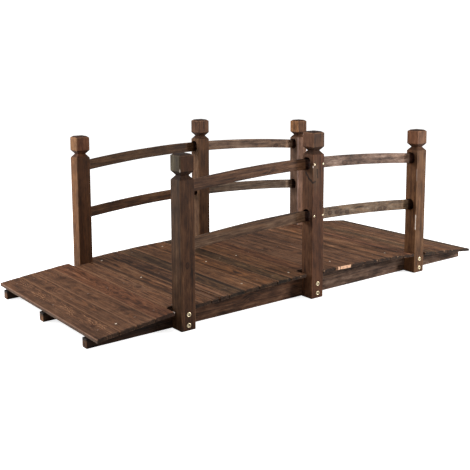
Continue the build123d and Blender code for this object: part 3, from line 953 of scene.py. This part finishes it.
def cross_head(bm, at, axis, side_dir, radius, rise):
    """A screw head with a cross recess."""
    axis, e1 = Vector(axis).normalized(), Vector(side_dir).normalized()
    e2 = axis.cross(e1)

    def pt(x, y, h):
        return bm.verts.new((Vector(at) + axis * h + e1 * x + e2 * y) * MM)

    arm, half = radius * 0.62, radius * 0.15
    cross = [(half, -arm), (half, -half), (arm, -half), (arm, half), (half, half), (half, arm),
             (-half, arm), (-half, half), (-arm, half), (-arm, -half), (-half, -half), (-half, -arm)]
    angles = [math.atan2(y, x) for x, y in cross]
    rim = [(radius * math.cos(a), radius * math.sin(a)) for a in angles]
    mid = [(radius * 0.86 * math.cos(a), radius * 0.86 * math.sin(a)) for a in angles]
    low = [pt(x, y, -1.0) for x, y in rim]
    edge = [pt(x, y, rise * 0.35) for x, y in rim]
    dome = [pt(x, y, rise * 0.8) for x, y in mid]
    lip = [pt(x, y, rise) for x, y in cross]
    sunk = [pt(x * 0.9, y * 0.9, -0.9) for x, y in cross]
    for a, b in ((low, edge), (edge, dome), (dome, lip), (lip, sunk)):
        for i in range(12):
            bm.faces.new((a[i], a[(i + 1) % 12], b[(i + 1) % 12], b[i]))
    bm.faces.new(list(reversed(low)))
    bm.faces.new(sunk)


bm = bmesh.new()
for side in SIDE_Y:
    out = -1 if side == "front" else 1
    for z in (413.0, 256.0):
        for dx in (-16.0, 19.5):
            cross_head(bm, (dx, out * 319.9, z + 1.5 * wave(dx, z)), (0, out, 0),
                       (math.cos(dx), 0, math.sin(dx)), 3.2, 0.9)
screws = new_object("rail_screws", bm)
finish_mesh(screws, sharp=30)
dress(screws, metal("screw_brass", (0.82, 0.70, 0.48), 0.5, 2), "fastener_metal")

# Nail heads through the boards into the three stringers.
BRIGHT = {(1, 0): (-665.1, -264.7), (5, 1): (-427.2, 6.3), (5, 2): (-426.7, 259.0), (8, 0): (-248.1, -262.0),
          (9, 1): (-190.1, -1.6), (9, 2): (-190.7, 258.7), (11, 0): (-73.3, -270.0), (11, 1): (-71.4, -6.0),
          (14, 0): (117.9, -252.5), (18, 0): (366.4, -261.8)}
shiny, stained = bmesh.new(), bmesh.new()
for i, (ox, oz, ux, uz, wide) in facets.items():
    for k, y in enumerate((-264.0, 0.0, 262.0)):
        u = wide / 2 + 3.0 * wave(i, k * 3.3)
        v = y + 3.0 * wave(i * 1.7, k)
        if (i, k) in BRIGHT:
            x, v = BRIGHT[i, k]
            u = (x - ox) / ux
        x, z = ox + ux * u - uz * (THICK - 0.25), oz + uz * u + ux * (THICK - 0.25)
        bright = (i, k) in BRIGHT
        lathe(shiny if bright else stained, (x, v, z), (-uz, 0, ux), (0, 1, 0),
              [(2.6, -1.0), (2.9, -0.2), (2.9, 0.15), (2.5, 0.42), (1.5, 0.5), (0.5, 0.52)], sides=16)
for name, bm, colour, dull, seed in (("nails_bright", shiny, (0.80, 0.70, 0.55), 0.6, 3),
                                     ("nails_stained", stained, (0.16, 0.10, 0.07), 0.5, 4)):
    o = new_object(name, bm)
    finish_mesh(o, sharp=35)
    dress(o, metal(f"{name}_metal", colour, dull, seed), "fastener_metal")

# ---------------------------------------------------------------- stage
bm = bmesh.new()
lattice(bm, 2, 2, lambda i, j, k: ((i - 0.5) * 60000, (j - 0.5) * 60000, -40 + 39.4 * k))
floor = new_object("floor", bm)
fg = Graph("floor_paper")
fn = fg.t.nodes.new("ShaderNodeTexCoord")
fcol = fg.ramp(fg.noise(fg.v("MULTIPLY", fn.outputs["Object"], (1000, 1000, 1000)), 900, 2),
               [(0.3, (0.80, 0.80, 0.80)), (0.7, (0.82, 0.82, 0.82))])
fg.put(fg.bsdf.inputs["Base Color"], fcol)
fg.bsdf.inputs["Roughness"].default_value = 0.9
fg.bsdf.inputs["Specular IOR Level"].default_value = 0.0
lp = fg.t.nodes.new("ShaderNodeLightPath")
fg.bsdf.inputs["Emission Color"].default_value = (1, 1, 1, 1)
fg.put(fg.bsdf.inputs["Emission Strength"], fg.m("MULTIPLY", lp.outputs["Is Camera Ray"], 0.82))
floor.data.materials.append(fg.mat)

world = bpy.data.worlds.new("studio")
bpy.context.scene.world = world
world.use_nodes = True
wt = world.node_tree
wt.nodes.clear()
wo = wt.nodes.new("ShaderNodeOutputWorld")
bg = wt.nodes.new("ShaderNodeBackground")
wl = wt.nodes.new("ShaderNodeLightPath")
wm = wt.nodes.new("ShaderNodeMath")
wm.operation = "MULTIPLY_ADD"
wt.links.new(wl.outputs["Is Camera Ray"], wm.inputs[0])
wm.inputs[1].default_value, wm.inputs[2].default_value = 0.9, 0.30
bg.inputs[0].default_value = (1, 1, 1, 1)
wt.links.new(wm.outputs[0], bg.inputs[1])
wt.links.new(bg.outputs[0], wo.inputs[0])


def soft_light(name, at, aim, size, power):
    d = bpy.data.lights.new(name, "AREA")
    d.shape, d.size, d.energy = "SQUARE", size, power
    o = bpy.data.objects.new(name, d)
    bpy.context.scene.collection.objects.link(o)
    o.location = at
    o.rotation_mode = "QUATERNION"
    o.rotation_quaternion = (Vector(aim) - Vector(at)).to_track_quat("-Z", "Y")


soft_light("key_front_right", (1.65, -1.75, 1.0), (0.25, -0.2, 0.2), 0.55, 62)
soft_light("key_rear_left", (-1.75, 1.3, 1.0), (-0.2, 0.1, 0.2), 0.9, 38)
soft_light("top", (0.0, 0.2, 2.8), (0, 0, 0), 2.4, 46)

scene = bpy.context.scene
scene.view_settings.view_transform = "Standard"
scene.view_settings.look = "None"
scene.view_settings.exposure = 0.0
scene.view_settings.gamma = 1.0
